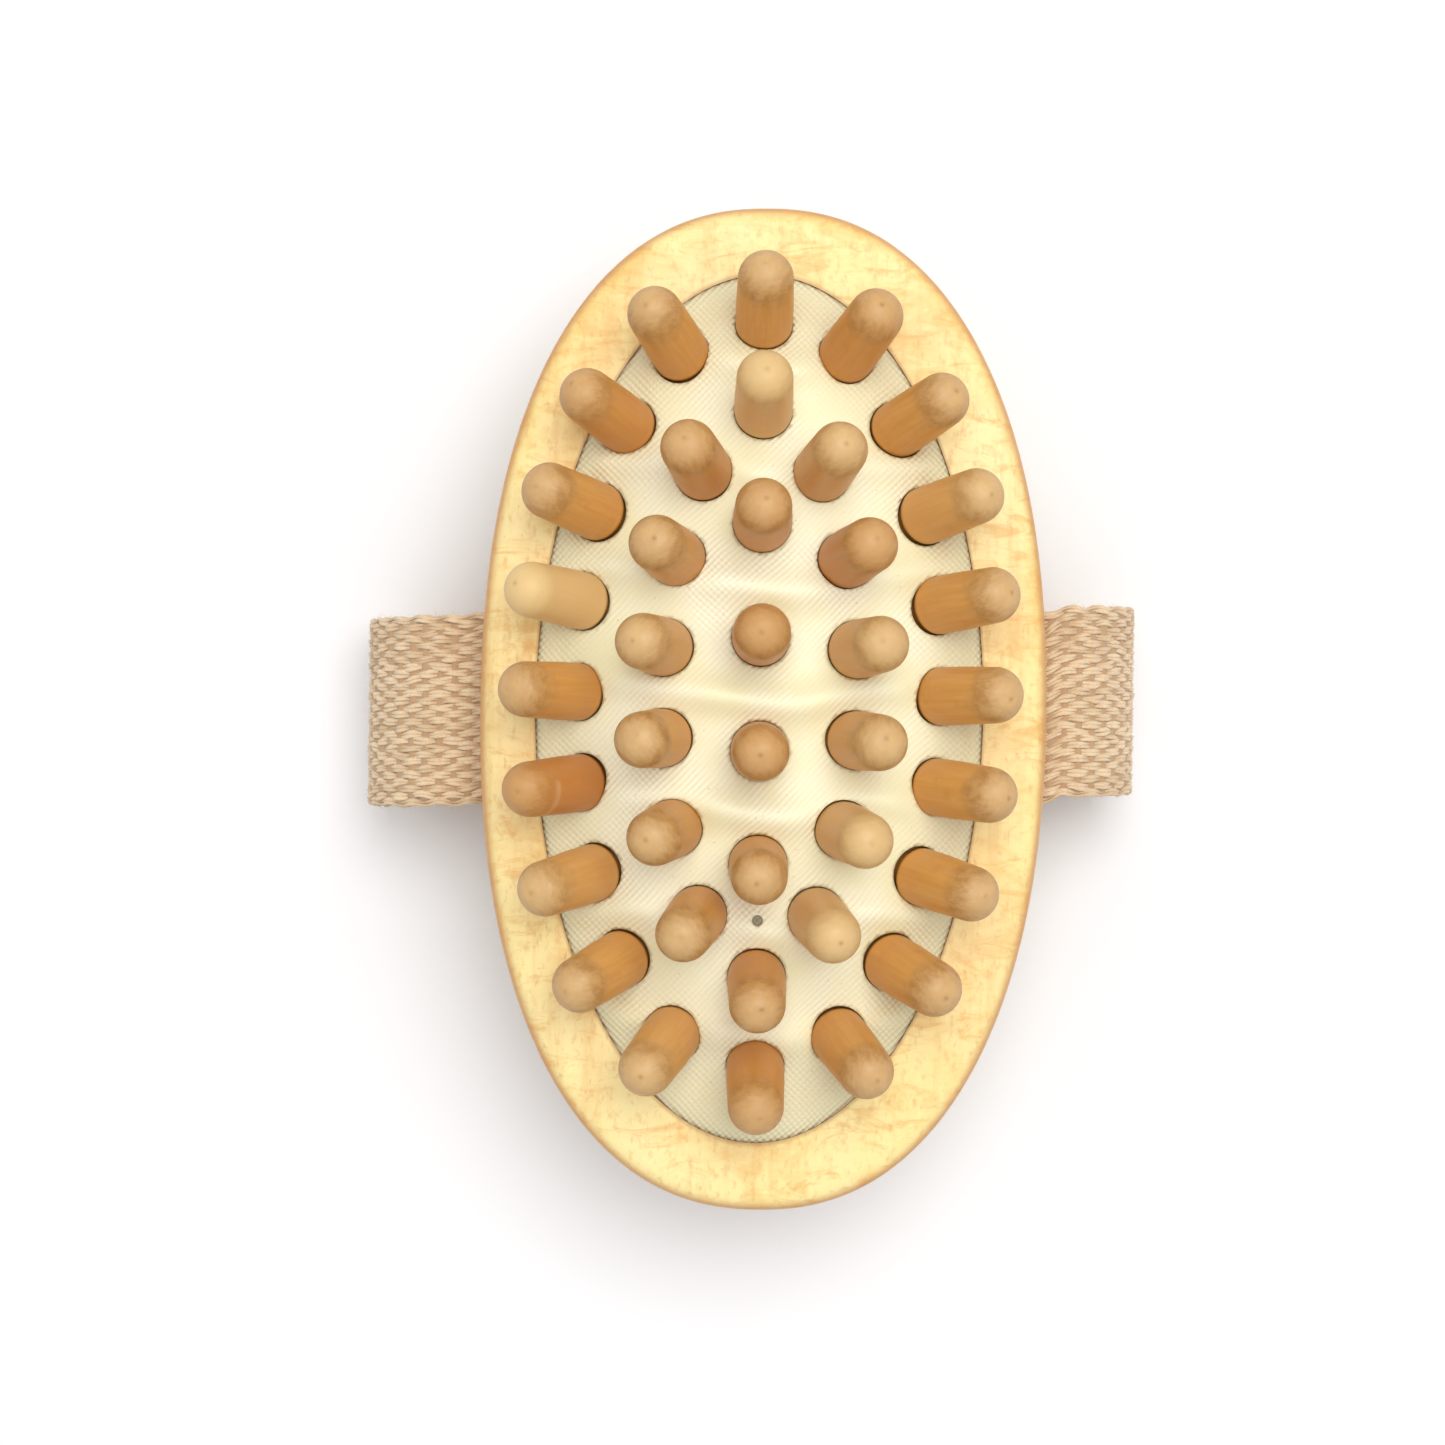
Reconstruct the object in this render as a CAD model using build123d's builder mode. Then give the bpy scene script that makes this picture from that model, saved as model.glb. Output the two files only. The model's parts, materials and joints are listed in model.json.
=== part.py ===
"""Body dry brush with turned wooden massage pegs on an air cushion.

The brush rests on the flat run of its hand strap.  +Y runs along the brush, +X
across it, +Z points out of the peg side.  The origin is the bottom centre.
All sizes are in millimetres.
"""

from build123d import *
from math import copysign, cos, pi, sin
import os

os.makedirs("parts", exist_ok=True)

# ---------------------------------------------------------------- wooden body
body_width = 73.5
body_length = 130.0
body_thickness = 18.0
body_power = 2.27  # 2 is a plain ellipse; a little more gives fuller shoulders
oval_point_count = 64
face_edge_radius = 2.5
back_edge_radius = 5.0

# ------------------------------------------------------------------ hand loop
strap_width = 25.0
strap_thickness = 2.0
hand_gap = 15.0  # between the wooden back and the flat run of the strap
strap_bulge = 15.6  # how far the loop stands out beyond the body's side
strap_straight = 3.5  # level run between the body's side and the first bend
slot_depth = 12.0
slot_clearance = 0.2  # between the strap and each wall of its slot
slot_roof_to_chamber = 1.5  # wood left between the slot and the air chamber

# ---------------------------------------------------------- cushion and pocket
opening_half_width = 28.9
opening_half_length = 56.0
opening_shift = -0.55  # the pocket is milled a little off centre in X
lip_thickness = 2.0
rubber_thickness = 2.5
rubber_tuck = 2.2  # how far the rubber's rim reaches under the lip
groove_clearance = 0.3  # beyond the rubber's rim
chamber_depth = 4.2  # below the ledge that the rubber's rim sits on
dome_height = 9.5  # the cushion's rise above its rim
dome_power = 2.75  # how flat the crown is: 2 is a parabola
dome_point_count = 16
vent_radius = 0.75
vent_shift = -26.8  # from the pocket's centre, along Y

# ----------------------------------------------------------------------- pegs
peg_pattern_shift = 1.9  # from the pocket's centre, along Y
outer_ring = {"count": 20, "half_width": 23.2, "half_length": 47.7, "power": 2.2}
inner_ring = {"count": 14, "half_width": 12.4, "half_length": 36.1, "power": 1.92}
centre_count = 4
centre_spacing = 14.4
shank_radius = 3.7
dome_radius = 3.5
shank_straight = 4.5  # the parallel stretch above the rubber
peg_dome_centre = 11.5  # from the rubber to the centre of the rounded tip
peg_hole_clearance = 0.06
foot_radius = 4.3
foot_gap = 0.7  # between the rubber and the foot underneath it
foot_thickness = 1.8
foot_chamfer = 0.5
foot_rounding = 0.1  # on the corners of the foot and its neck

# ---------------------------------------------------------------- strap brads
brad_radius = 0.7
brad_head_radius = 1.3
brad_head_thickness = 0.5
brad_hole_clearance = 0.03
brad_inset = 7.0  # from the body's side to the row of brads
brad_spacing = 14.0
brad_tip_above_slot = 1.0

# ------------------------------------------------------------- derived heights
half_width = body_width / 2
half_length = body_length / 2
back_height = strap_thickness + hand_gap
face_height = back_height + body_thickness
rim_height = face_height - lip_thickness
ledge_height = rim_height - rubber_thickness
chamber_floor = ledge_height - chamber_depth
slot_half_height = strap_thickness / 2 + slot_clearance
slot_height = chamber_floor - slot_roof_to_chamber - slot_half_height
pocket_centre = Vector(opening_shift, 0, 0)


def oval_points(half_x, half_y, power):
    """Points of a closed superellipse, clockwise from its +Y end."""
    points = []
    for index in range(oval_point_count):
        angle = pi / 2 - 2 * pi * index / oval_point_count
        across = cos(angle)
        along = sin(angle)
        points.append(
            (
                half_x * copysign(abs(across) ** (2 / power), across),
                half_y * copysign(abs(along) ** (2 / power), along),
            )
        )
    return points


def dome_rise(reach):
    """The cushion's rise above its rim, where reach is 0 at the crown and 1 at the rim."""
    return dome_height * (1 - reach**dome_power)


def peg_plane(x, y):
    """The plane on the cushion at a place given from the pocket's centre, facing outwards."""
    reach = ((x / opening_half_width) ** 2 + (y / opening_half_length) ** 2) ** 0.5
    steepness = dome_height * dome_power * reach ** (dome_power - 2)
    outwards = Vector(
        steepness * x / opening_half_width**2,
        steepness * y / opening_half_length**2,
        1,
    )
    root = pocket_centre + Vector(x, y, rim_height + dome_rise(reach))
    return Plane(origin=root, x_dir=(1, 0, -outwards.X), z_dir=outwards)


def ring_planes(ring):
    """Planes for one oval ring of pegs, evenly spaced, clockwise from the +Y end."""
    with BuildLine() as path:
        Spline(*oval_points(ring["half_width"], ring["half_length"], ring["power"]), periodic=True)
    places = [path.line @ (index / ring["count"]) for index in range(ring["count"])]
    return [peg_plane(place.X, place.Y + peg_pattern_shift) for place in places]


def centre_planes():
    """Planes for the middle row of pegs, from the +Y end."""
    first = peg_pattern_shift + centre_spacing * (centre_count - 1) / 2
    return [peg_plane(0, first - centre_spacing * index) for index in range(centre_count)]


peg_groups = {
    "outer": ring_planes(outer_ring),
    "inner": ring_planes(inner_ring),
    "centre": centre_planes(),
}
all_peg_planes = [plane for planes in peg_groups.values() for plane in planes]
brad_x = half_width - brad_inset
brad_places = [
    (side * brad_x, end * brad_spacing / 2) for side in (-1, 1) for end in (-1, 1)
]

# ---------------------------------------------------------------- wooden body
with BuildPart() as body_block:
    with BuildSketch(Plane.XY.offset(back_height)):
        with BuildLine():
            Spline(*oval_points(half_width, half_length, body_power), periodic=True)
        make_face()
    extrude(amount=body_thickness)
    fillet(body_block.edges().group_by(Axis.Z)[-1], face_edge_radius)
    fillet(body_block.edges().group_by(Axis.Z)[0], back_edge_radius)
    # the opening in the face and the air chamber under the cushion
    with BuildSketch(Plane.XY.offset(face_height)):
        with Locations(pocket_centre):
            Ellipse(opening_half_width, opening_half_length)
    extrude(amount=chamber_floor - face_height, mode=Mode.SUBTRACT)
    # the undercut groove that grips the cushion's rim
    groove_reach = rubber_tuck + groove_clearance
    with BuildSketch(Plane.XY.offset(ledge_height)):
        with Locations(pocket_centre):
            Ellipse(opening_half_width + groove_reach, opening_half_length + groove_reach)
    extrude(amount=rubber_thickness, mode=Mode.SUBTRACT)
    # one slot in each long side for the strap's ends
    with Locations(
        (half_width - slot_depth / 2, 0, slot_height),
        (slot_depth / 2 - half_width, 0, slot_height),
    ):
        Box(
            slot_depth + slot_clearance,
            strap_width + 2 * slot_clearance,
            2 * slot_half_height,
            mode=Mode.SUBTRACT,
        )
    # countersunk holes for the brads, from the back
    brad_top = slot_height + slot_half_height + brad_tip_above_slot
    with BuildSketch(Plane.XY.offset(back_height)):
        with Locations(*brad_places):
            Circle(brad_radius + brad_hole_clearance)
    extrude(amount=brad_top - back_height, mode=Mode.SUBTRACT)
    with BuildSketch(Plane.XY.offset(back_height)):
        with Locations(*brad_places):
            Circle(brad_head_radius + brad_hole_clearance)
    extrude(amount=brad_head_thickness, mode=Mode.SUBTRACT)

body_block.part.label = "body_block"
export_step(body_block.part, "parts/body_block.step")

# ------------------------------------------------------------- rubber cushion
with BuildPart() as dome:
    with BuildSketch(Plane.XZ):
        with BuildLine():
            reaches = [index / (dome_point_count - 1) for index in range(dome_point_count)]
            crown = Spline(
                *[(opening_half_width * reach, dome_rise(reach)) for reach in reaches],
                tangents=[(1, 0), (opening_half_width, -dome_height * dome_power)],
            )
            Polyline(crown @ 1, (0, 0), crown @ 0)
        make_face()
    revolve(axis=Axis.Z)
    scale(by=(1, opening_half_length / opening_half_width, 1))

with BuildPart() as rubber_cushion:
    with BuildSketch(Plane.XY.offset(ledge_height)):
        with Locations(pocket_centre):
            Ellipse(opening_half_width + rubber_tuck, opening_half_length + rubber_tuck)
    extrude(amount=rubber_thickness)
    add(dome.part.moved(Location(pocket_centre + Vector(0, 0, rim_height))))
    add(dome.part.moved(Location(pocket_centre + Vector(0, 0, ledge_height))), mode=Mode.SUBTRACT)
    with Locations(*all_peg_planes):
        Cylinder(shank_radius + peg_hole_clearance, 4 * rubber_thickness, mode=Mode.SUBTRACT)
    with Locations(pocket_centre + Vector(0, vent_shift, rim_height + dome_height)):
        Cylinder(vent_radius, 4 * rubber_thickness, mode=Mode.SUBTRACT)

rubber_cushion.part.label = "rubber_cushion"
export_step(rubber_cushion.part, "parts/rubber_cushion.step")

# ----------------------------------------------------------------------- pegs
foot_top = -(rubber_thickness + foot_gap)
foot_bottom = foot_top - foot_thickness

for group, planes in peg_groups.items():
    for number, plane in enumerate(planes, start=1):
        with BuildPart() as peg:
            # local x is the radius and local y runs along the peg, from the rubber's surface
            with BuildSketch(Plane(plane.origin, x_dir=plane.x_dir, z_dir=-plane.y_dir)):
                with BuildLine():
                    FilletPolyline(
                        (0, foot_bottom),
                        (foot_radius - foot_chamfer, foot_bottom),
                        (foot_radius, foot_bottom + foot_chamfer),
                        (foot_radius, foot_top),
                        (shank_radius, foot_top),
                        radius=foot_rounding,
                    )
                    Polyline(
                        (shank_radius, foot_top),
                        (shank_radius, shank_straight),
                        (dome_radius, peg_dome_centre),
                    )
                    CenterArc((0, peg_dome_centre), dome_radius, 0, 90)
                    Line((0, peg_dome_centre + dome_radius), (0, foot_bottom))
                make_face()
            revolve(axis=Axis(plane.origin, plane.z_dir))
        peg.part.label = f"peg_{group}_{number:02d}"
        export_step(peg.part, f"parts/{peg.part.label}.step")

# ----------------------------------------------------------------- hand strap
lower_middle = strap_thickness / 2
upper_bend = strap_bulge - strap_straight - strap_thickness / 2
lower_bend = slot_height - lower_middle - upper_bend
shoulder_x = half_width + strap_straight
strap_end_x = half_width - slot_depth + slot_clearance

with BuildPart() as hand_strap:
    with BuildSketch(Plane.XZ):
        # the strap's middle line, from its right end round the loop to its left end
        with BuildLine():
            right_end = Line((strap_end_x, slot_height), (shoulder_x, slot_height))
            right_upper = JernArc(right_end @ 1, (1, 0), upper_bend, -90)
            right_lower = JernArc(right_upper @ 1, (0, -1), lower_bend, -90)
            flat_run = Line(right_lower @ 1, (-(right_lower @ 1).X, lower_middle))
            left_lower = JernArc(flat_run @ 1, (-1, 0), lower_bend, -90)
            left_upper = JernArc(left_lower @ 1, (0, 1), upper_bend, -90)
            Line(left_upper @ 1, (-strap_end_x, slot_height))
        trace(line_width=strap_thickness)
    extrude(amount=strap_width / 2, both=True)
    with BuildSketch(Plane.XY.offset(slot_height - strap_thickness)):
        with Locations(*brad_places):
            Circle(brad_radius + brad_hole_clearance)
    extrude(amount=2 * strap_thickness, mode=Mode.SUBTRACT)

hand_strap.part.label = "hand_strap"
export_step(hand_strap.part, "parts/hand_strap.step")

# ---------------------------------------------------------------- strap brads
for side_name, places in {"left": brad_places[:2], "right": brad_places[2:]}.items():
    with BuildPart() as brads:
        with BuildSketch(Plane.XY.offset(back_height)):
            with Locations(*places):
                Circle(brad_head_radius)
        extrude(amount=brad_head_thickness)
        with BuildSketch(Plane.XY.offset(back_height)):
            with Locations(*places):
                Circle(brad_radius)
        extrude(amount=brad_top - back_height)
    brads.part.label = f"strap_brads_{side_name}"
    export_step(brads.part, f"parts/{brads.part.label}.step")
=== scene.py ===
"""Looks of the body dry brush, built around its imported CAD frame.

Metres, +Z up, +Y along the brush, the origin at the bottom centre.
"""

import json
import math

import bpy
import numpy as np
from mathutils import Matrix, Vector
from mathutils.geometry import delaunay_2d_cdt


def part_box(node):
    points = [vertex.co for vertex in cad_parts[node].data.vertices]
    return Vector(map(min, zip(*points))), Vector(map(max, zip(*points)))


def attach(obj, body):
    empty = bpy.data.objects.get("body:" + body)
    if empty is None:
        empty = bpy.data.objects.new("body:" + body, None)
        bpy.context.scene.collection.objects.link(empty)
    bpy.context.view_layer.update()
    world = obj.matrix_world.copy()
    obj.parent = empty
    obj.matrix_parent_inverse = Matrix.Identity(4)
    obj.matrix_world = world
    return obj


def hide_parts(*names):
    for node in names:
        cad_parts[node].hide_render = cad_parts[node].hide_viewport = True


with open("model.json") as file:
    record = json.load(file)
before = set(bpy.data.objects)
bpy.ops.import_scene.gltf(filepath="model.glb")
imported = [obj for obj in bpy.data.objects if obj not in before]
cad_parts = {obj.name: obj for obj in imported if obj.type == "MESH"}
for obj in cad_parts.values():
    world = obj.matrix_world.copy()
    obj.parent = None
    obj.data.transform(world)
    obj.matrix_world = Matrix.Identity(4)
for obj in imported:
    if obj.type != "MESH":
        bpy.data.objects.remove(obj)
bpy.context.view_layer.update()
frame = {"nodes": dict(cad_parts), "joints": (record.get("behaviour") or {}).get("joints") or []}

MM = 0.001
NODES = frame["nodes"]
BODY_HIGH = Vector(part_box("body_block")[1])
CUSHION_LOW, CUSHION_HIGH = (Vector(corner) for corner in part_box("rubber_cushion"))
STRAP_LOW, STRAP_HIGH = (Vector(corner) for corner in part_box("hand_strap"))

# the CAD model's own sizes, which the visual pieces repeat
RUBBER_TUCK = 2.2 * MM
RUBBER_THICKNESS = 2.5 * MM
DOME_POWER = 2.75
PEG_LENGTH = 15.0 * MM  # from the rubber to the tip
SHANK_RADIUS = 3.7 * MM
TIP_RADIUS = 3.5 * MM
SHANK_STRAIGHT = 4.5 * MM
FOOT_RADIUS = 4.3 * MM
FOOT_TOP = -3.2 * MM
NECK_DEPTH = 0.9 * MM  # a groove under the rubber, which it grips
FOOT_BOTTOM = -5.0 * MM

FACE_HEIGHT = BODY_HIGH.z
RIM_HEIGHT = CUSHION_LOW.z + RUBBER_THICKNESS
DOME_HEIGHT = CUSHION_HIGH.z - RIM_HEIGHT
OPENING_X = (CUSHION_LOW.x + CUSHION_HIGH.x) / 2
OPENING_HALF_WIDTH = (CUSHION_HIGH.x - CUSHION_LOW.x) / 2 - RUBBER_TUCK
OPENING_HALF_LENGTH = (CUSHION_HIGH.y - CUSHION_LOW.y) / 2 - RUBBER_TUCK
PEG_NAMES = [name for name in NODES if name.startswith("peg_")]


# ------------------------------------------------------------------ mesh helpers
def new_object(name, vertices, faces, smooth=True):
    """A mesh object from numpy points and index lists, in the row frame."""
    mesh = bpy.data.meshes.new(name)
    mesh.from_pydata([tuple(v) for v in vertices], [], [tuple(f) for f in faces])
    mesh.validate()
    mesh.update()
    if smooth:
        mesh.shade_smooth()
    made = bpy.data.objects.new(name, mesh)
    bpy.context.collection.objects.link(made)
    return made


def add_attribute(made, name, values):
    """One number per vertex, for the material to read."""
    layer = made.data.attributes.new(name, "FLOAT", "POINT")
    layer.data.foreach_set("value", np.asarray(values, np.float32))


def tube_faces(rings, sides, closed_ends=True):
    """Quads that join rings of points, and a face over each end."""
    faces = []
    for ring in range(rings - 1):
        for side in range(sides):
            after = (side + 1) % sides
            a, b = ring * sides + side, ring * sides + after
            faces.append((a, b, b + sides, a + sides))
    if closed_ends:
        faces.append(tuple(reversed(range(sides))))
        faces.append(tuple(range((rings - 1) * sides, rings * sides)))
    return faces


# -------------------------------------------------------------- material helpers
class Shade:
    """A small hand for building one procedural material."""

    def __init__(self, name):
        self.material = bpy.data.materials.new(name)
        self.material.use_nodes = True
        self.tree = self.material.node_tree
        self.shader = self.tree.nodes["Principled BSDF"]

    def node(self, kind, settings=None, **inputs):
        made = self.tree.nodes.new(kind)
        for key, value in (settings or {}).items():
            setattr(made, key, value)
        for key, value in inputs.items():
            self.put(made, key, value)
        return made

    def put(self, node, key, value):
        socket = node.inputs[int(key[1:])] if key[0] == "i" and key[1:].isdigit() else node.inputs[key]
        if isinstance(value, bpy.types.NodeSocket):
            self.tree.links.new(value, socket)
        else:
            socket.default_value = value

    def shade(self, **inputs):
        for key, value in inputs.items():
            self.put(self.shader, key.replace("_", " "), value)

    def place(self, scale=(1, 1, 1), shift=(0, 0, 0)):
        """The piece's own coordinates, shifted and then scaled."""
        coordinates = self.node("ShaderNodeTexCoord").outputs["Object"]
        moved = [amount * factor for amount, factor in zip(shift, scale)]
        mapping = self.node("ShaderNodeMapping", Vector=coordinates, Scale=scale, Location=moved)
        return mapping.outputs["Vector"]

    def noise(self, vector, scale, detail=4.0, roughness=0.55, distortion=0.0):
        made = self.node(
            "ShaderNodeTexNoise",
            Vector=vector, Scale=scale, Detail=detail, Roughness=roughness, Distortion=distortion,
        )
        return made.outputs["Fac"]

    def attribute(self, name):
        return self.node("ShaderNodeAttribute", {"attribute_name": name}).outputs["Fac"]

    def math(self, operation, a, b=0.0):
        return self.node("ShaderNodeMath", {"operation": operation}, i0=a, i1=b).outputs[0]

    def span(self, value, low, high, to_low=0.0, to_high=1.0):
        made = self.node(
            "ShaderNodeMapRange", {"interpolation_type": "SMOOTHSTEP"}, i0=value, i1=low, i2=high,
            i3=to_low, i4=to_high,
        )
        return made.outputs[0]

    def mix(self, share, a, b, blend="MIX"):
        made = self.node("ShaderNodeMix", {"data_type": "RGBA", "blend_type": blend})
        self.put(made, "i0", share)
        self.put(made, "i6", a)
        self.put(made, "i7", b)
        return made.outputs[2]

    def bump(self, height, strength, distance, normal=None):
        made = self.node("ShaderNodeBump", Height=height, Strength=strength, Distance=distance)
        if normal is not None:
            self.put(made, "Normal", normal)
        return made.outputs["Normal"]


def colour(red, green, blue):
    """A linear colour from the usual 0 to 255 values."""
    parts = [value / 255 for value in (red, green, blue)]
    return [p / 12.92 if p <= 0.04045 else ((p + 0.055) / 1.055) ** 2.4 for p in parts] + [1.0]


# --------------------------------------------------------------------- materials
def opening_reach(s):
    """0 at the middle of the opening in the wood and 1 at its edge."""
    place = s.place(
        shift=(-OPENING_X, 0, 0),
        scale=(1 / OPENING_HALF_WIDTH, 1 / OPENING_HALF_LENGTH, 0),
    )
    return s.node("ShaderNodeVectorMath", {"operation": "LENGTH"}, Vector=place).outputs["Value"]


def make_body_wood():
    """Pale birch under satin lacquer: cloudy figure, curl across the grain, brown flecks."""
    s = Shade("body_wood")
    cloud = s.noise(s.place(), 62, detail=4, roughness=0.6, distortion=0.7)
    curl = s.noise(s.place(scale=(1, 2.6, 1)), 150, detail=6, roughness=0.66, distortion=1.1)
    streak = s.noise(s.place(scale=(1, 0.08, 1)), 560, detail=4)
    fine = s.noise(s.place(scale=(1, 0.5, 1)), 1300, detail=3)
    fleck = s.noise(s.place(scale=(1, 0.34, 1)), 1250, detail=2)
    patchy = s.noise(s.place(shift=(0.3, 0, 0)), 85, detail=2)
    bleach = s.noise(s.place(shift=(0.12, 0.7, 0)), 40, detail=3, roughness=0.6)
    tone = s.mix(s.span(cloud, 0.42, 0.6), colour(248, 227, 155), colour(241, 207, 131))
    tone = s.mix(s.span(bleach, 0.4, 0.62, 0.0, 0.42), tone, colour(250, 234, 178))
    tone = s.mix(s.span(curl, 0.48, 0.72, 0.0, 0.66), tone, colour(225, 170, 88))
    tone = s.mix(s.span(curl, 0.5, 0.3, 0.0, 0.6), tone, colour(250, 230, 160))
    tone = s.mix(s.span(streak, 0.48, 0.78, 0.0, 0.4), tone, colour(224, 172, 94))
    tone = s.mix(s.span(fine, 0.5, 0.75, 0.0, 0.35), tone, colour(208, 150, 74))
    specks = s.math("MULTIPLY", s.span(fleck, 0.64, 0.74), s.span(patchy, 0.44, 0.6, 0.02, 0.26))
    tone = s.mix(specks, tone, colour(158, 98, 46))
    # sloped faces turn darker amber: partly thicker lacquer on the edges, partly painted shade
    facing = s.node("ShaderNodeNewGeometry").outputs["Normal"]
    upright = s.math("ABSOLUTE", s.node("ShaderNodeSeparateXYZ", Vector=facing).outputs["Z"])
    tone = s.mix(s.span(upright, 0.98, 0.5, 0.0, 0.8), tone, colour(198, 130, 54))
    # painted shade: a dark line at the opening's edge and a darker wall, for the gap by the rubber
    reach = opening_reach(s)
    tone = s.mix(s.span(reach, 1.014, 1.0, 0.0, 0.5), tone, colour(150, 94, 42))
    painted_wall_shade = s.math("MULTIPLY", s.span(upright, 0.5, 0.2), s.span(reach, 1.12, 1.04))
    tone = s.mix(painted_wall_shade, tone, colour(138, 92, 48))
    relief = s.bump(s.math("ADD", streak, s.math("MULTIPLY", fine, 0.5)), 0.16, 0.0004)
    s.shade(
        Base_Color=tone,
        Roughness=s.span(curl, 0.25, 0.75, 0.36, 0.52),
        Normal=s.bump(fleck, 0.08, 0.0002, relief),
    )
    s.shader.inputs["Specular IOR Level"].default_value = 0.35
    s.shader.inputs["Coat Weight"].default_value = 0.15
    s.shader.inputs["Coat Roughness"].default_value = 0.3
    return s.material


def make_peg_wood():
    """Turned hardwood: orange along the shank, greyer over the round tip: end grain and painted
    reflection.
    """
    s = Shade("peg_wood")
    along = s.attribute("along")
    tone_shift = s.attribute("tone")
    blotch = s.noise(s.place(), 260, detail=4, roughness=0.6)
    grain = s.noise(s.place(scale=(1, 1, 0.07)), 1100, detail=5, roughness=0.6)
    rays = s.noise(s.place(scale=(1, 0.55, 0.55)), 900, detail=5, roughness=0.7)
    ring = s.noise(s.place(scale=(0.001, 0.001, 1)), 1900, detail=2)
    shank = s.mix(s.span(grain, 0.34, 0.68), colour(209, 153, 77), colour(219, 165, 88))
    # painted shade: the shank darkens towards its root, among the other pegs
    shank = s.mix(s.span(along, 0.45, 0.05, 0.0, 0.3), shank, colour(204, 140, 70))
    shank = s.mix(s.span(tone_shift, 0.5, 0.0, 0.0, 0.8), shank, colour(206, 130, 62))
    # the tip's greyer colour is partly end grain, partly painted reflection on the up-facing dome
    tip = s.mix(s.span(rays, 0.36, 0.66), colour(172, 126, 70), colour(194, 152, 96))
    edge = s.math("ADD", along, s.span(blotch, 0.3, 0.7, -0.04, 0.04))
    wood = s.mix(s.span(edge, 0.6, 0.9), shank, tip)
    # painted highlight: the crown of the tip is paler
    wood = s.mix(s.span(along, 0.88, 1.0, 0.0, 0.62), wood, colour(216, 178, 124))
    wood = s.mix(s.span(blotch, 0.52, 0.76, 0.0, 0.3), wood, colour(182, 124, 68))
    wood = s.mix(s.span(tone_shift, 0.5, 0.1, 0.0, 0.5), wood, colour(186, 126, 62))
    wood = s.mix(s.span(tone_shift, 0.5, 1.0, 0.0, 0.8), wood, colour(228, 196, 136))
    wood = s.mix(s.math("MULTIPLY", s.attribute("eye"), 0.55), wood, colour(120, 76, 40))
    wood = s.mix(s.math("MULTIPLY", s.attribute("scratch"), 0.4), wood, colour(238, 214, 176))
    lathe = s.bump(ring, 0.1, 0.0001)
    s.shade(
        Base_Color=wood,
        Roughness=s.span(grain, 0.2, 0.8, 0.4, 0.54),
        Normal=s.bump(grain, 0.12, 0.0001, lathe),
    )
    s.shader.inputs["Specular IOR Level"].default_value = 0.3
    s.shader.inputs["Coat Weight"].default_value = 0.06
    s.shader.inputs["Coat Roughness"].default_value = 0.35
    return s.material


PRINT_PITCH = 0.9 * MM  # between the threads of the cloth printed into the rubber


def make_cushion_rubber():
    """Cream natural rubber that carries the print of the cloth it was pressed on."""
    s = Shade("cushion_rubber")
    reach = s.attribute("reach")
    flat = s.node("ShaderNodeSeparateXYZ", Vector=s.node("ShaderNodeTexCoord").outputs["Object"])
    wander = s.math("MULTIPLY", s.noise(s.place(), 55, detail=2), 0.003)
    threads = []
    for lean in (-1, 1):
        across = s.math("ADD", flat.outputs["X"], s.math("MULTIPLY", flat.outputs["Y"], lean))
        across = s.math("ADD", across, wander)
        threads.append(s.math("SINE", s.math("MULTIPLY", across, 2 * math.pi / PRINT_PITCH)))
    patch = s.noise(s.place(), 95, detail=3)
    cross = s.math("MAXIMUM", s.span(reach, 0.62, 0.9), s.span(patch, 0.5, 0.68, 0.0, 0.7))
    weave = s.math("ADD", threads[0], s.math("MULTIPLY", threads[1], cross))
    strength = s.math("MAXIMUM", s.span(patch, 0.34, 0.66, 0.15, 0.75), s.span(reach, 0.7, 0.95))
    weave = s.math("MULTIPLY", weave, strength)
    cream = s.mix(s.span(patch, 0.3, 0.7), colour(248, 248, 206), colour(254, 255, 228))
    # greyer towards the rim: partly the rubber's own colour, partly painted shade of the slope
    rubber = s.mix(s.span(reach, 0.6, 1.0, 0.0, 0.9), cream, colour(230, 220, 178))
    rubber = s.mix(s.span(weave, 0.9, -1.4, 0.0, 0.2), rubber, colour(190, 180, 136))
    speck = s.noise(s.place(), 1900, detail=1)
    rubber = s.mix(s.span(speck, 0.74, 0.8, 0.0, 0.4), rubber, colour(150, 128, 92))
    # painted shade: the vent pit's wall and floor are darkened for the shade down the vent
    rubber = s.mix(s.attribute("pit"), rubber, colour(150, 147, 122))
    s.shade(
        Base_Color=rubber,
        Roughness=s.span(weave, -1, 1, 0.4, 0.52),
        Normal=s.bump(weave, 0.45, 0.0001),
    )
    s.shader.inputs["Specular IOR Level"].default_value = 0.55
    return s.material


def make_webbing(name, pale, mid, dark):
    """Undyed cotton: each yarn a little different, with twisted fibres."""
    s = Shade(name)
    strand = s.attribute("strand")
    fibre = s.noise(s.place(scale=(0.4, 1, 1)), 5200, detail=4, roughness=0.7)
    soft = s.noise(s.place(), 300, detail=3)
    yarn = s.mix(s.span(strand, 0.0, 1.0), mid, pale)
    yarn = s.mix(s.span(soft, 0.42, 0.7, 0.0, 0.45), yarn, mid)
    yarn = s.mix(s.span(fibre, 0.5, 0.72, 0.0, 0.6), yarn, dark)
    s.shade(Base_Color=yarn, Roughness=0.92, Normal=s.bump(fibre, 0.6, 0.00015))
    s.shader.inputs["Sheen Weight"].default_value = 0.25
    s.shader.inputs["Sheen Roughness"].default_value = 0.6
    s.shader.inputs["Specular IOR Level"].default_value = 0.2
    return s.material


def make_brad_steel():
    """Plain drawn steel with faint scratches."""
    s = Shade("brad_steel")
    scratch = s.noise(s.place(scale=(1, 12, 1)), 900, detail=4)
    steel = s.mix(s.span(scratch, 0.3, 0.7), colour(140, 140, 142), colour(196, 196, 194))
    s.shade(Base_Color=steel, Roughness=s.span(scratch, 0.2, 0.8, 0.25, 0.45), Metallic=1.0)
    return s.material


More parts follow.
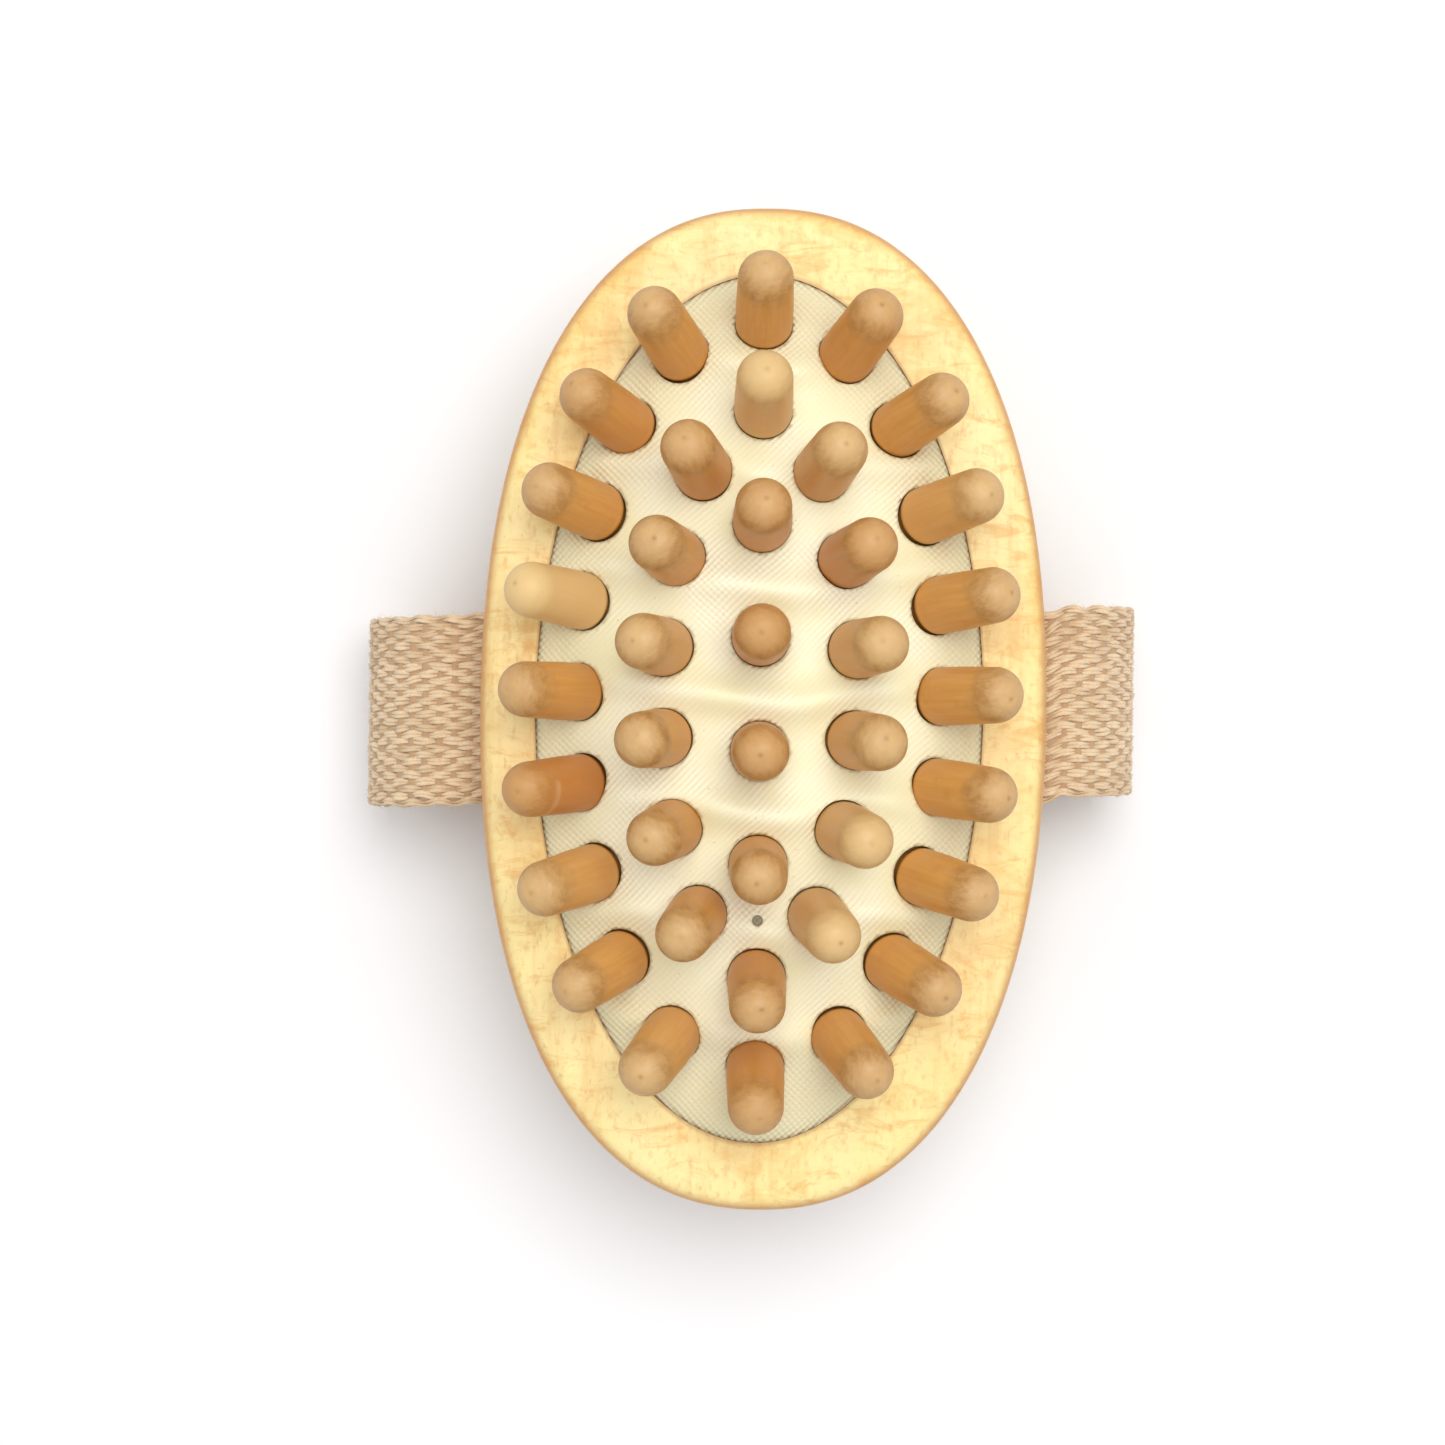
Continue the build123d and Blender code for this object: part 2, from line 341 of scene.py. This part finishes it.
# ------------------------------------------------------------------------- pegs
def peg_axis(name):
    """(root on the rubber, outward unit vector) of a peg, from its CAD joint and mesh."""
    joint = next(j for j in frame["joints"] if j["child"] == name)
    outwards = -Vector(joint["axis"]).normalized()
    points = np.empty(len(NODES[name].data.vertices) * 3, np.float32)
    NODES[name].data.vertices.foreach_get("co", points)
    points = points.reshape(-1, 3)
    tip = Vector(points[np.argmax(points @ np.array(outwards))].tolist())
    return tip - outwards * PEG_LENGTH, outwards


PEGS = {name: peg_axis(name) for name in PEG_NAMES}


def peg_profile(random):
    """(radius, height) from the foot to the tip, with the faint marks of the lathe."""
    points = [
        (0.0, FOOT_BOTTOM),
        (FOOT_RADIUS - 0.6 * MM, FOOT_BOTTOM),
        (FOOT_RADIUS - 0.1 * MM, FOOT_BOTTOM + 0.5 * MM),
        (FOOT_RADIUS, FOOT_TOP - 0.15 * MM),
        (FOOT_RADIUS - 0.15 * MM, FOOT_TOP),
        (SHANK_RADIUS - NECK_DEPTH + 0.1 * MM, FOOT_TOP),
    ]
    tip_centre = PEG_LENGTH - TIP_RADIUS
    heights = np.concatenate([[FOOT_TOP + 0.1 * MM, -0.3 * MM], np.linspace(0, tip_centre, 24)])
    for height in heights:
        share = max(0.0, (height - SHANK_STRAIGHT) / (tip_centre - SHANK_STRAIGHT))
        mark = 0.004 * MM * math.sin(height / (0.31 * MM) + random.uniform(-0.5, 0.5))
        neck = NECK_DEPTH if height < 0 else 0.0
        points.append((SHANK_RADIUS + (TIP_RADIUS - SHANK_RADIUS) * share + mark - neck, height))
    fullness = random.uniform(-0.02, 0.03)
    for turn in np.linspace(0, math.pi / 2, 26)[1:]:
        lift = 1 + fullness * math.sin(2 * turn)
        points.append((TIP_RADIUS * math.cos(turn) * lift, tip_centre + TIP_RADIUS * math.sin(turn)))
    return points


# how light a peg's wood is, where one stands out: 0 is red-brown, 0.5 is usual, 1 is cream
TONES = {
    "peg_outer_17": 0.95, "peg_inner_01": 0.8, "peg_outer_15": 0.1, "peg_outer_18": 0.42,
    # the four centre pegs are set darker as painted shade on their upturned tips
    "peg_centre_01": 0.3, "peg_centre_02": 0.2, "peg_centre_03": 0.26, "peg_centre_04": 0.4,
}
SCRATCHED_PEG = "peg_outer_15"
PEG_SIDES = 40


def scratch_strength(points):
    """A pale crescent scratched into the upper side of one peg's shank."""
    away = np.linalg.norm(points - np.array([0, 0, 0.52 * PEG_LENGTH]), axis=1)
    bow = np.abs(away - SHANK_RADIUS * 1.16) / (0.15 * MM)
    upper_side = (points[:, 2] > 0.5 * PEG_LENGTH) & (points[:, 0] > -0.5 * SHANK_RADIUS)
    return np.where(upper_side, np.exp(-bow**2), 0)


def make_peg(name, number, wood):
    """One turned peg, with the small nib or hollow that parting off leaves."""
    random = np.random.default_rng(700 + number)
    profile = peg_profile(random)
    nib = random.choice([-0.14, -0.08, 0.08, 0.12]) * MM
    eye_x, eye_y = random.uniform(-0.6, 0.6, 2) * MM
    squash_x = random.uniform(0.985, 1.01)
    angles = 2 * math.pi * np.arange(PEG_SIDES) / PEG_SIDES
    points = np.array([
        (radius * math.cos(angle) * squash_x, radius * math.sin(angle), height)
        for radius, height in profile for angle in angles
    ])
    at_tip = points[:, 2] > PEG_LENGTH - 1.5 * MM
    away = np.hypot(points[:, 0] - eye_x, points[:, 1] - eye_y)
    points[:, 2] += np.where(at_tip, nib * np.exp(-((away / (0.42 * MM)) ** 2)), 0)
    peg = new_object(name + "_turned", points, tube_faces(len(profile), PEG_SIDES))
    tone = TONES.get(name, float(random.normal(0.5, 0.13)))
    add_attribute(peg, "along", points[:, 2] / PEG_LENGTH)
    add_attribute(peg, "tone", np.full(len(points), tone))
    eye = np.where(at_tip, np.exp(-((away / (0.3 * MM)) ** 2)), 0)
    add_attribute(peg, "eye", eye * random.uniform(0.2, 1.0))
    root, outwards = PEGS[name]
    scratched = scratch_strength(points) if name == SCRATCHED_PEG else 0 * eye
    add_attribute(peg, "scratch", scratched)
    turn = Matrix.Rotation(random.uniform(0, 2 * math.pi), 4, "Z")
    lean = Vector((0, 0, 1)).rotation_difference(outwards).to_matrix().to_4x4()
    peg.matrix_world = Matrix.Translation(root) @ lean @ turn
    peg.data.materials.append(wood)
    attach(peg, name)
    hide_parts(name)
    return peg


# ---------------------------------------------------------------------- cushion
CUSHION_REACH = 1.05  # how far the sheet goes under the lip, as a share of the opening
SEAM_REACH = 1.003  # where the rubber meets the wall of the opening
VENT_Y = -26.8 * MM
VENT_RADIUS = 0.75 * MM
VENT_PIT = ((1.0, 0.0), (0.86, 0.4 * MM), (0.4, 0.45 * MM))  # shares of the radius, and depths
GRID_STEP = 0.5 * MM
SHEET_THICKNESS = 1.2 * MM
HOLE_CLEARANCE = 0.05 * MM
DIMPLE_DEPTH = 0.5 * MM
DIMPLE_RADIUS = 4.9 * MM
FOLD_HEIGHT = 2.3 * MM
FOLD_PITCH = 14.4 * MM  # the spacing of the middle pegs, which the folds run between
FOLD_SHIFT = 1.9 * MM
PLEAT_DEPTH = 0.35 * MM
RIM_SWELL = 1.5 * MM  # the rubber stands up against the wall of the opening
LIP_GAP = 0.06 * MM


def cushion_surface(x, y):
    """Height of the rubber at x and y from the opening's centre: a dome, drawn in at the pegs."""
    reach = np.hypot(x / OPENING_HALF_WIDTH, y / OPENING_HALF_LENGTH)
    dome = RIM_HEIGHT + DOME_HEIGHT * np.maximum(0, 1 - reach**DOME_POWER)
    near_peg = np.zeros_like(x)
    for root, _ in PEGS.values():
        away = np.hypot(x + OPENING_X - root.x, y - root.y) / DIMPLE_RADIUS
        near_peg += np.exp(-away**2)
    relief = -DIMPLE_DEPTH * near_peg
    wander = 1.3 * MM * np.sin(x / (6 * MM) + 1.3) + 0.25 * MM * np.sin(x / (2.6 * MM))
    crest = np.cos(2 * math.pi * (y + wander - FOLD_SHIFT) / FOLD_PITCH)
    relief += FOLD_HEIGHT * np.exp(1.6 * (crest - 1)) * (1 - 0.75 * np.minimum(near_peg, 1))
    around = np.arctan2(y / OPENING_HALF_LENGTH, x / OPENING_HALF_WIDTH)
    pleat = np.abs(np.sin(10 * (around + 0.3 * np.sin(2 * around))))
    near_rim = np.exp(-(((reach - 0.9) / 0.07) ** 2))
    relief -= PLEAT_DEPTH * pleat * near_rim
    inside = np.clip((1 - reach) / 0.1, 0, 1)
    swell = np.exp(-(((reach - 1) / 0.1) ** 2))
    height = dome + relief * inside + RIM_SWELL * swell
    return np.where(reach > SEAM_REACH + 0.001, RIM_HEIGHT - LIP_GAP, height)


def peg_hole(root, outwards, gap):
    """A peg's hole in the rubber, close to the shank but open by gap on the inner side."""
    axis = np.array(outwards)
    inwards = np.array([OPENING_X - root.x, -root.y, 0.0])
    inwards -= axis * (inwards @ axis)
    inwards /= max(np.linalg.norm(inwards), 1e-9)
    sideways = np.cross(axis, inwards)
    angles = 2 * math.pi * np.arange(56) / 56
    radius = SHANK_RADIUS + HOLE_CLEARANCE + gap * np.maximum(0, np.cos(angles)) ** 2
    ring = np.outer(np.cos(angles) * radius, inwards) + np.outer(np.sin(angles) * radius, sideways)
    ring += np.array(root)
    for _ in range(8):
        miss = cushion_surface(ring[:, 0] - OPENING_X, ring[:, 1]) - ring[:, 2]
        ring += np.outer(miss, axis)
    return ring


def hole_gap(name, root, random):
    """How far a hole is pulled open: most at the outer pegs and near the vent."""
    if name.startswith("peg_outer"):
        return random.uniform(0.04, 0.3) * MM
    if root.y < -18 * MM or (name.startswith("peg_inner") and root.x > 8 * MM):
        return random.uniform(0.04, 0.26) * MM
    return random.uniform(0.0, 0.08) * MM


def make_cushion(rubber):
    """The domed rubber sheet, with an open hole round each peg and a vent pit."""
    random = np.random.default_rng(12)
    half_x = OPENING_HALF_WIDTH * CUSHION_REACH
    half_y = OPENING_HALF_LENGTH * CUSHION_REACH
    rings = [
        peg_hole(root, outwards, hole_gap(name, root, random))
        for name, (root, outwards) in PEGS.items()
    ]
    turns = 2 * math.pi * np.arange(24) / 24
    for share, drop in VENT_PIT:
        x = share * VENT_RADIUS * np.cos(turns)
        y = VENT_Y + share * VENT_RADIUS * np.sin(turns)
        rings.append(np.stack([x + OPENING_X, y, cushion_surface(x, y) - drop], -1))
    turns = 2 * math.pi * np.arange(420) / 420
    borders = []
    for share in (CUSHION_REACH, SEAM_REACH):
        x = share * OPENING_HALF_WIDTH * np.cos(turns)
        y = share * OPENING_HALF_LENGTH * np.sin(turns)
        borders.append(np.stack([x + OPENING_X, y, cushion_surface(x, y)], -1))
    border = np.concatenate(borders)

    rows = np.arange(-half_y, half_y, GRID_STEP * 0.866)
    x, y = np.meshgrid(np.arange(-half_x, half_x, GRID_STEP), rows)
    x = (x + (np.arange(len(rows)) % 2)[:, None] * GRID_STEP / 2).reshape(-1)
    y = y.reshape(-1)
    open_field = np.hypot(x / (half_x - GRID_STEP / 2), y / (half_y - GRID_STEP / 2)) < 1
    at_seam = np.abs(np.hypot(x / OPENING_HALF_WIDTH, y / OPENING_HALF_LENGTH) - SEAM_REACH) < 0.011
    grid = np.stack([x + OPENING_X, y, cushion_surface(x, y)], -1)[open_field & ~at_seam]
    for ring in rings:
        centre = ring.mean(0)
        spread = ring - centre
        bearing = np.arctan2(spread[:, 1], spread[:, 0])
        order = np.argsort(bearing)
        offset = grid - centre
        edge = np.interp(
            np.arctan2(offset[:, 1], offset[:, 0]), bearing[order],
            np.hypot(spread[:, 0], spread[:, 1])[order], period=2 * math.pi,
        )
        grid = grid[np.hypot(offset[:, 0], offset[:, 1]) > edge + 0.35 * GRID_STEP]

    points = np.concatenate([grid, border, *rings])
    loops, first = [], len(grid) + len(border)
    for ring in rings:
        loops.append(range(first, first + len(ring)))
        first += len(ring)
    ring_of = np.full(len(points), -1)
    edges = []
    for number, loop in enumerate(loops):
        ring_of[list(loop)] = number
        edges += [(index, loop[(place + 1) % len(loop)]) for place, index in enumerate(loop)]
    flat = [Vector((x / MM, y / MM)) for x, y in points[:, :2]]
    made, _, triangles, sources, _, _ = delaunay_2d_cdt(flat, edges, [], 0, 1e-6)
    source = np.array([found[0] for found in sources])
    triangles = source[np.array([face for face in triangles if len(face) == 3])]
    owner = ring_of[triangles]
    in_hole = (owner[:, 0] >= 0) & (owner[:, 0] < len(PEGS)) & (owner == owner[:, :1]).all(1)
    cushion = new_object("cushion_sheet", points, triangles[~in_hole])

    reach = np.hypot(
        (points[:, 0] - OPENING_X) / OPENING_HALF_WIDTH, points[:, 1] / OPENING_HALF_LENGTH
    )
    add_attribute(cushion, "reach", reach)
    # the vent pit's inner rings, which the rubber darkens as painted shade
    add_attribute(cushion, "pit", (ring_of > len(PEGS)).astype(float))
    thick = cushion.modifiers.new("thickness", "SOLIDIFY")
    thick.thickness = SHEET_THICKNESS
    thick.offset = -1
    cushion.data.materials.append(rubber)
    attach(cushion, "brush")
    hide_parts("rubber_cushion")
    return cushion


# ------------------------------------------------------------------------ strap
STRAP_WIDTH = STRAP_HIGH.y - STRAP_LOW.y
STRAP_THICKNESS = 2.0 * MM
STRAP_STRAIGHT = 3.5 * MM  # level run outside the body, before the loop bends, as in the CAD model
SLOT_DEPTH = 11.8 * MM  # how far the strap's ends reach into the body, as in the CAD model
LOOP_SHIFT = -1.4 * MM  # the loop stands out further on the -X side
SHOULDER_X = BODY_HIGH.x + STRAP_STRAIGHT
UPPER_BEND = STRAP_HIGH.x - SHOULDER_X - STRAP_THICKNESS / 2
SLOT_HEIGHT = STRAP_HIGH.z - STRAP_THICKNESS / 2
LOWER_BEND = SLOT_HEIGHT - STRAP_THICKNESS / 2 - UPPER_BEND
STRAP_END_X = BODY_HIGH.x - SLOT_DEPTH


def strap_path(step):
    """Points, tangents and outward normals along the strap's middle line, in X and Z."""
    stretches = []
    right, left = SHOULDER_X + LOOP_SHIFT, -SHOULDER_X + LOOP_SHIFT
    level = STRAP_THICKNESS / 2
    stretches.append(("line", (STRAP_END_X, SLOT_HEIGHT), (right, SLOT_HEIGHT)))
    stretches.append(("arc", (right, SLOT_HEIGHT - UPPER_BEND), UPPER_BEND, 90, 0))
    lower_right = (right + UPPER_BEND - LOWER_BEND, level + LOWER_BEND)
    stretches.append(("arc", lower_right, LOWER_BEND, 0, -90))
    lower_left = (left - UPPER_BEND + LOWER_BEND, level + LOWER_BEND)
    stretches.append(("line", (lower_right[0], level), (lower_left[0], level)))
    stretches.append(("arc", lower_left, LOWER_BEND, 270, 180))
    stretches.append(("arc", (left, SLOT_HEIGHT - UPPER_BEND), UPPER_BEND, 180, 90))
    stretches.append(("line", (left, SLOT_HEIGHT), (-STRAP_END_X, SLOT_HEIGHT)))
    points = []
    for kind, *facts in stretches:
        if kind == "line":
            start, end = np.array(facts[0]), np.array(facts[1])
            count = max(2, round(np.linalg.norm(end - start) / step))
            points.extend(start + (end - start) * share for share in np.arange(count) / count)
        else:
            centre, radius, first, last = facts
            count = max(2, round(radius * math.radians(abs(last - first)) / step))
            for angle in np.radians(first + (last - first) * np.arange(count) / count):
                points.append(np.array(centre) + radius * np.array([math.cos(angle), math.sin(angle)]))
    points.append(np.array([-STRAP_END_X, SLOT_HEIGHT]))
    points = np.array(points)
    tangents = np.gradient(points, axis=0)
    tangents /= np.linalg.norm(tangents, axis=1)[:, None]
    normals = np.stack([-tangents[:, 1], tangents[:, 0]], -1)
    lengths = np.concatenate([[0], np.cumsum(np.linalg.norm(np.diff(points, axis=0), axis=1))])
    return points, tangents, normals, lengths


WEFT_PITCH = 1.9 * MM  # from one weft yarn to the next, along the strap
YARN_COUNT = 28
YARN_PITCH = 1.01 * STRAP_WIDTH / YARN_COUNT
STRAP_SLANT = 1.4 * MM  # the loop's ends lean this far along Y, one each way
STRAP_RISE = 0.45 * MM  # and the whole loop sits this far along +Y


def slant(x, z):
    """The loop hangs a little askew outside its slots."""
    in_slot = np.clip((BODY_HIGH.x + 3 * MM - abs(x)) / (3.5 * MM), 0, 1) * (z > SLOT_HEIGHT / 2)
    return (STRAP_SLANT * x / STRAP_HIGH.x + STRAP_RISE) * (1 - in_slot)


def make_strap_core(cotton):
    """The weft inside the webbing: a thin strip with a rib for each weft yarn."""
    points, _, normals, lengths = strap_path(0.36 * MM)
    half_width = STRAP_WIDTH / 2 - 0.45 * MM
    stations = np.linspace(-1, 1, 15)
    outline = [(across, 1) for across in stations] + [(across, -1) for across in stations[::-1]]
    vertices = []
    for point, normal, length in zip(points, normals, lengths):
        half_height = 0.56 * MM + 0.19 * MM * math.cos(2 * math.pi * length / WEFT_PITCH)
        for across, up in outline:
            x, z = point + normal * up * half_height
            vertices.append((x, across * half_width + slant(x, z), z))
    core = new_object("strap_core", vertices, tube_faces(len(points), len(outline)))
    add_attribute(core, "strand", np.full(len(vertices), 0.2))
    core.data.materials.append(cotton)
    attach(core, "brush")
    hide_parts("hand_strap")
    return core, lengths[-1]


def make_strap_yarns(cotton):
    """Warp yarns on both faces: each is two loose plies, over one weft yarn and under the next."""
    random = np.random.default_rng(41)
    points, _, normals, lengths = strap_path(0.5 * MM)
    sides = 5
    angles = 2 * math.pi * np.arange(sides) / sides
    ring_faces = tube_faces(len(points), sides)
    blocks, faces, strand = [], [], []
    for layer in (1, -1):
        for yarn in range(YARN_COUNT):
            base_y = (yarn + 0.5 - YARN_COUNT / 2) * YARN_PITCH
            drift = sum(
                random.normal(0, 0.5) * np.sin(lengths / MM * (0.13 + 0.21 * k) + random.uniform(0, 6))
                for k in range(9)
            )
            phase = math.pi * (yarn % 2) + random.normal(0, 0.12)
            turn = math.pi * lengths / WEFT_PITCH + phase + 0.14 * drift
            lift = np.cos(turn)
            yarn_tone = random.uniform(0.25, 0.9)
            selvedge = 0.16 * MM * np.cos(turn + yarn) * (yarn in (0, YARN_COUNT - 1))
            for ply in (-1, 1):
                wobble = random.normal(0, 1) * np.sin(lengths / MM * 1.3 + random.uniform(0, 6))
                height = layer * (0.5 * MM + 0.22 * MM * lift + 0.05 * MM * wobble)
                thick = 0.28 * MM * (1 + 0.16 * lift + 0.1 * wobble)
                outwards = height[:, None] + thick[:, None] * 1.15 * np.sin(angles)
                x = points[:, :1] + normals[:, :1] * outwards
                z = np.maximum(points[:, 1:] + normals[:, 1:] * outwards, 0.02 * MM)
                middle = base_y + selvedge + 0.08 * MM * drift + ply * 0.22 * MM * (1 + 0.25 * wobble)
                y = middle[:, None] + thick[:, None] * np.cos(angles) + slant(x, z)
                start = len(blocks) * x.size
                faces.extend(tuple(start + index for index in face) for face in ring_faces)
                blocks.append(np.stack([x, y, z], -1).reshape(-1, 3))
                # paler where the yarn rides up, darker where it dips under: painted light and shade
                tone = yarn_tone + 0.3 * lift + 0.1 * drift + 0.12 * wobble
                strand.append(np.repeat(np.clip(tone, 0, 1), sides))
    yarns = new_object("strap_yarns", np.concatenate(blocks), faces)
    add_attribute(yarns, "strand", np.concatenate(strand))
    yarns.data.materials.append(cotton)
    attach(yarns, "brush")
    return yarns


def make_strap_fuzz(cotton):
    """Loose fibres that stand off the webbing, most of them along its two edges."""
    random = np.random.default_rng(77)
    points, tangents, normals, _ = strap_path(0.42 * MM)
    vertices, faces = [], []
    for fibre in range(900):
        place = random.integers(8, len(points) - 8)
        side = random.choice([-1, 1])
        at_edge = fibre % 3 > 0
        y = side * STRAP_WIDTH / 2 if at_edge else random.uniform(-0.5, 0.5) * STRAP_WIDTH
        up = random.uniform(-0.8, 0.8) if at_edge else side
        x, z = points[place] + normals[place] * up * 0.8 * MM
        start = np.array([x, y + slant(x, z), z])
        along = np.array([tangents[place][0], 0, tangents[place][1]])
        out = np.array([normals[place][0] * up, 0, normals[place][1] * up])
        out += np.array([0, side * 0.8 * at_edge, 0])
        heading = along * random.normal(0, 1) + out * random.uniform(0.1, 0.7)
        heading += random.normal(0, 0.25, 3)
        heading /= np.linalg.norm(heading)
        bend = random.normal(0, 0.35, 3)
        reach = random.uniform(0.5, 1.5) * MM
        first = len(vertices)
        for share in np.linspace(0, 1, 5):
            middle = start + (heading * share + bend * share**2) * reach
            for side_angle in (0, 2.1, 4.2):
                ring = np.array([math.cos(side_angle), math.sin(side_angle), 0.3])
                vertices.append(middle + ring * 0.022 * MM * (1.1 - share))
        faces.extend(tuple(first + index for index in face) for face in tube_faces(5, 3))
    vertices = np.array(vertices)
    vertices[:, 2] = np.maximum(vertices[:, 2], 0.02 * MM)
    fuzz = new_object("strap_fuzz", vertices, faces)
    add_attribute(fuzz, "strand", np.full(len(vertices), 0.8))
    fuzz.data.materials.append(cotton)
    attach(fuzz, "brush")
    return fuzz


# ------------------------------------------------------------------------ stage
HORIZON_STRENGTH = 0.55
ZENITH_STRENGTH = 0.88
FLOOR_REACH = 15.0
LAMP_PLACE = (0.1, 0.18, 0.71)
LAMP_AIM = Vector((0.0, 0.0, 0.03))


def make_stage():
    """A plain white floor, a white world and one large soft light overhead."""
    floor = new_object(
        "floor",
        [(x * FLOOR_REACH, y * FLOOR_REACH, 0) for x, y in ((-1, -1), (1, -1), (1, 1), (-1, 1))],
        [(0, 1, 2, 3)],
        smooth=False,
    )
    floor.location.z = -0.05 * MM
    s = Shade("floor_paper")
    s.shade(Base_Color=(0.9, 0.9, 0.905, 1.0), Roughness=0.9)
    s.shader.inputs["Specular IOR Level"].default_value = 0.1
    floor.data.materials.append(s.material)

    world = bpy.data.worlds.new("studio")
    bpy.context.scene.world = world
    world.use_nodes = True
    tree = world.node_tree
    background = tree.nodes["Background"]
    background.inputs["Color"].default_value = (0.965, 0.97, 1.0, 1.0)
    upwards = tree.nodes.new("ShaderNodeSeparateXYZ")
    tree.links.new(tree.nodes.new("ShaderNodeTexCoord").outputs["Generated"], upwards.inputs[0])
    strength = tree.nodes.new("ShaderNodeMapRange")
    for place, value in enumerate((0.0, 1.0, HORIZON_STRENGTH, ZENITH_STRENGTH), start=1):
        strength.inputs[place].default_value = value
    tree.links.new(upwards.outputs["Z"], strength.inputs[0])
    tree.links.new(strength.outputs[0], background.inputs["Strength"])

    lamp = bpy.data.lights.new("softbox", "AREA")
    lamp.shape = "DISK"
    lamp.size = 0.5
    lamp.energy = 3.0
    lamp.color = (1.0, 0.99, 0.97)
    softbox = bpy.data.objects.new("softbox", lamp)
    softbox.location = LAMP_PLACE
    heading = LAMP_AIM - Vector(LAMP_PLACE)
    softbox.rotation_euler = heading.to_track_quat("-Z", "Y").to_euler()
    bpy.context.collection.objects.link(softbox)


def make_camera():
    """Straight above the brush, a little off its middle."""
    distance = 350 * MM  # above the wooden face
    frame_width = 186.4 * MM  # what the picture spans at the face
    lens = bpy.data.cameras.new("camera")
    lens.sensor_width = 36.0
    lens.lens = 36.0 * distance / frame_width
    lens.clip_start = 0.01
    lens.clip_end = 10
    camera = bpy.data.objects.new("camera", lens)
    camera.location = (-5.27 * MM, -1.8 * MM, FACE_HEIGHT + distance)
    camera.rotation_euler = (0, 0, math.radians(0.71))
    bpy.context.collection.objects.link(camera)
    bpy.context.scene.camera = camera


bpy.context.scene.view_settings.view_transform = "Standard"
make_camera()
make_stage()

body_wood = make_body_wood()
peg_wood = make_peg_wood()
rubber = make_cushion_rubber()
cotton = make_webbing(
    "strap_cotton", colour(234, 210, 174), colour(210, 181, 143), colour(176, 144, 108)
)
# the weft: the same cotton in darker colours, as painted shade deep between the warp yarns
weft = make_webbing(
    "strap_weft_painted_shade", colour(204, 172, 136), colour(188, 155, 118), colour(150, 118, 88)
)
steel = make_brad_steel()

for node, material in {
    "body_block": body_wood, "strap_brads_left": steel, "strap_brads_right": steel,
}.items():
    NODES[node].data.materials.clear()
    NODES[node].data.materials.append(material)

for number, name in enumerate(PEG_NAMES):
    make_peg(name, number, peg_wood)
make_cushion(rubber)
core, strap_length = make_strap_core(weft)
yarns = make_strap_yarns(cotton)
fuzz = make_strap_fuzz(cotton)
